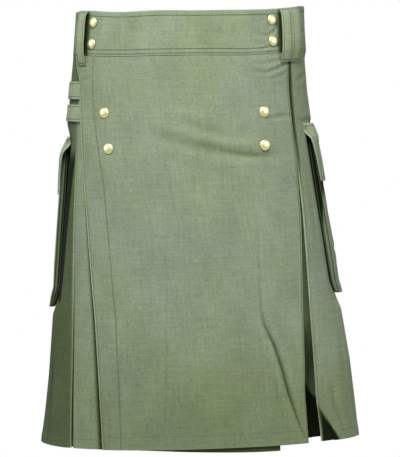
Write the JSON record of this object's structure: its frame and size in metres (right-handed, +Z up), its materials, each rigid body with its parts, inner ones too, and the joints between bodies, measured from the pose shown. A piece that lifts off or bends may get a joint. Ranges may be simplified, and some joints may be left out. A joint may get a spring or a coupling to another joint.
{
  "type": "utility kilt",
  "caption": "Empty worn-shaped pleated cotton kilt with a wrapped front apron, waistband with belt loops, hip straps, cargo pockets and brass snap caps.",
  "frame": {"origin": "centre of the waist at the mid height of the waistband, where the wearer's waist is", "axes": "+Z up along the height, -Y out of the front apron, +X to the viewer's right"},
  "size_m": [0.4602, 0.3092, 0.629],
  "materials": {
    "cotton_drill": "matt sage-green twill",
    "snap_brass": "polished pale brass"
  },
  "bodies": {
    "root": {"front_apron": "cotton_drill", "under_apron": "cotton_drill", "pleats_right": "cotton_drill", "pleats_left": "cotton_drill", "pleats_back": "cotton_drill", "waistband": "cotton_drill", "loop_front_left_inner": "cotton_drill", "loop_front_right_inner": "cotton_drill", "loop_front_right_outer": "cotton_drill", "loop_back_left_outer": "cotton_drill", "loop_back_left_inner": "cotton_drill", "loop_back_right_outer": "cotton_drill", "loop_back_right_inner": "cotton_drill", "strap_upper": "cotton_drill", "strap_lower": "cotton_drill", "pocket_left": "cotton_drill", "pocket_right": "cotton_drill", "flap_left": "cotton_drill", "flap_right": "cotton_drill", "snap_band_left_upper": "snap_brass", "snap_band_left_lower": "snap_brass", "snap_band_right_upper": "snap_brass", "snap_band_right_lower": "snap_brass", "snap_apron_left_upper": "snap_brass", "snap_apron_left_lower": "snap_brass", "snap_apron_right_upper": "snap_brass", "snap_apron_right_lower": "snap_brass"}
  },
  "joints": []
}
